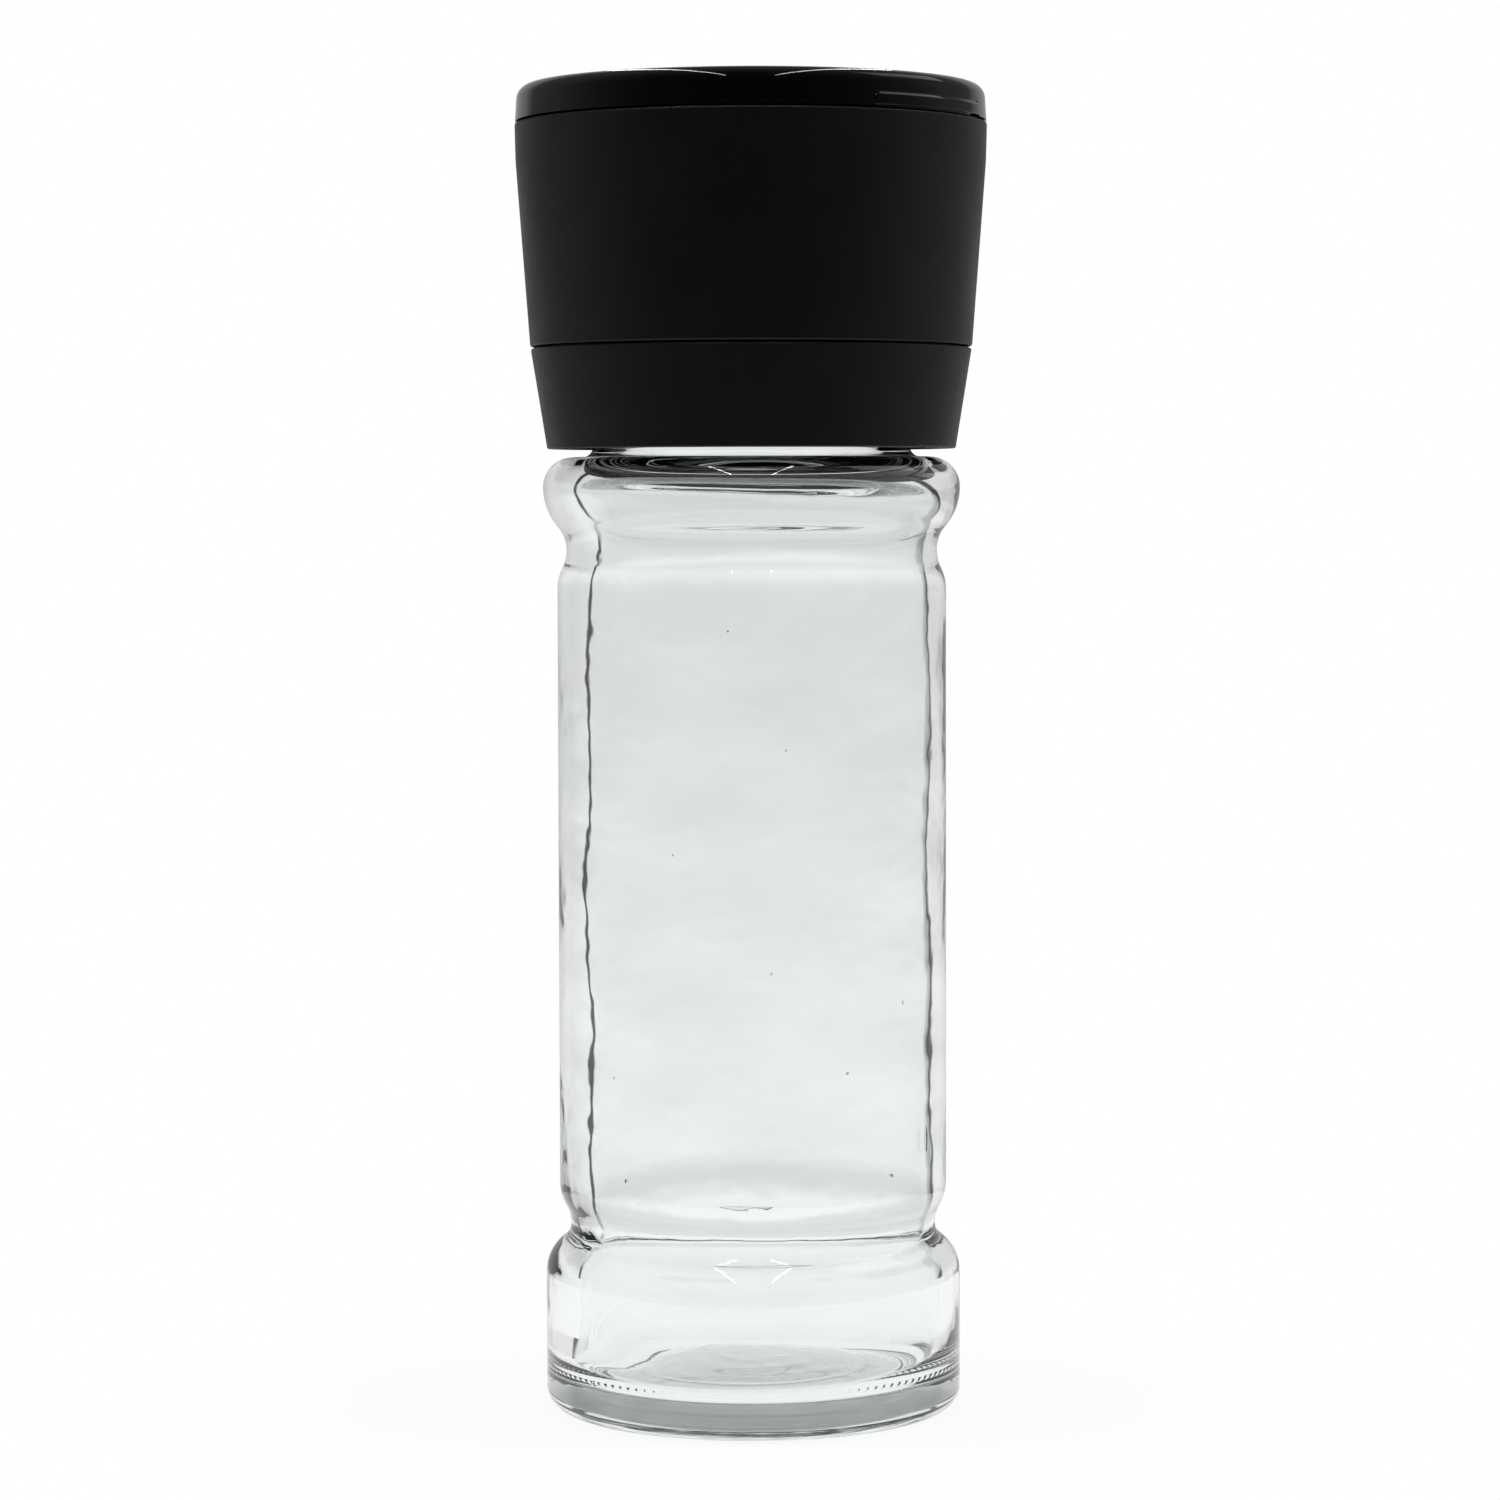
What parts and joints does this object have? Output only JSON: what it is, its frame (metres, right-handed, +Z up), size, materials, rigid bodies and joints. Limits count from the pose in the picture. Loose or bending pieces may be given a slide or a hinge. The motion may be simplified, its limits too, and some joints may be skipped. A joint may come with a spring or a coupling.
{
  "type": "spice grinder jar",
  "caption": "Clear glass spice jar with a black grinder head: screw collar, turning barrel with ceramic burrs, adjusting knob and flip lid.",
  "frame": {"origin": "middle of the glass jar's standing ring, on the plane it stands on", "axes": "+Z up along the jar and grinder axis; -Y towards the lid's thumb recess; +Y towards the lid's hinge"},
  "size_m": [0.052, 0.052, 0.1465],
  "materials": {
    "clear_glass": "clear blown soda-lime glass",
    "matte_black": "spark-eroded matte moulded polypropylene",
    "gloss_black": "polished moulded polypropylene",
    "bracket_plastic": "satin moulded acetal",
    "burr_ceramic": "unglazed sintered ceramic",
    "stainless_steel": "drawn stainless steel",
    "seal_foam": "soft white polyethylene foam"
  },
  "bodies": {
    "jar": {"glass_jar": "clear_glass"},
    "seal": {"neck_seal": "seal_foam"},
    "collar": {"collar": "matte_black", "spindle_bracket": "bracket_plastic", "spindle": "stainless_steel", "burr_spring": "stainless_steel"},
    "inner_burr": {"inner_burr": "burr_ceramic"},
    "knob": {"adjusting_knob": "bracket_plastic"},
    "barrel": {"barrel": "matte_black", "outer_burr": "burr_ceramic", "burr_retainer": "bracket_plastic"},
    "lid": {"lid": "gloss_black"}
  },
  "joints": [
    {"name": "head_rise", "type": "slide", "parent": "jar", "child": "seal", "axis": [0, 0, 1], "range_m": [0, 0.0105]},
    {"name": "head_unscrew", "type": "hinge", "parent": "seal", "child": "collar", "pos_m": [0, 0, 0.1171], "axis": [0, 0, 1], "range_deg": [0, 900]},
    {"name": "grind_turn", "type": "hinge", "parent": "collar", "child": "barrel", "pos_m": [0, 0, 0.118], "axis": [0, 0, 1], "continuous": true},
    {"name": "burr_rise", "type": "slide", "parent": "collar", "child": "inner_burr", "axis": [0, 0, 1], "range_m": [0, 0.0008], "deforming": ["burr_spring"]},
    {"name": "knob_turn", "type": "hinge", "parent": "inner_burr", "child": "knob", "pos_m": [0, 0, 0.1372], "axis": [0, 0, 1], "range_deg": [0, 360]},
    {"name": "lid_open", "type": "hinge", "parent": "barrel", "child": "lid", "pos_m": [0, 0.0239, 0.1442], "axis": [-1, 0, 0], "range_deg": [0, 95]}
  ],
  "couplings": [
    {"joint": "head_rise", "follows": "head_unscrew", "m_per_rad": 0.00066845},
    {"joint": "knob_turn", "follows": "burr_rise", "rad_per_m": 7853.9}
  ]
}
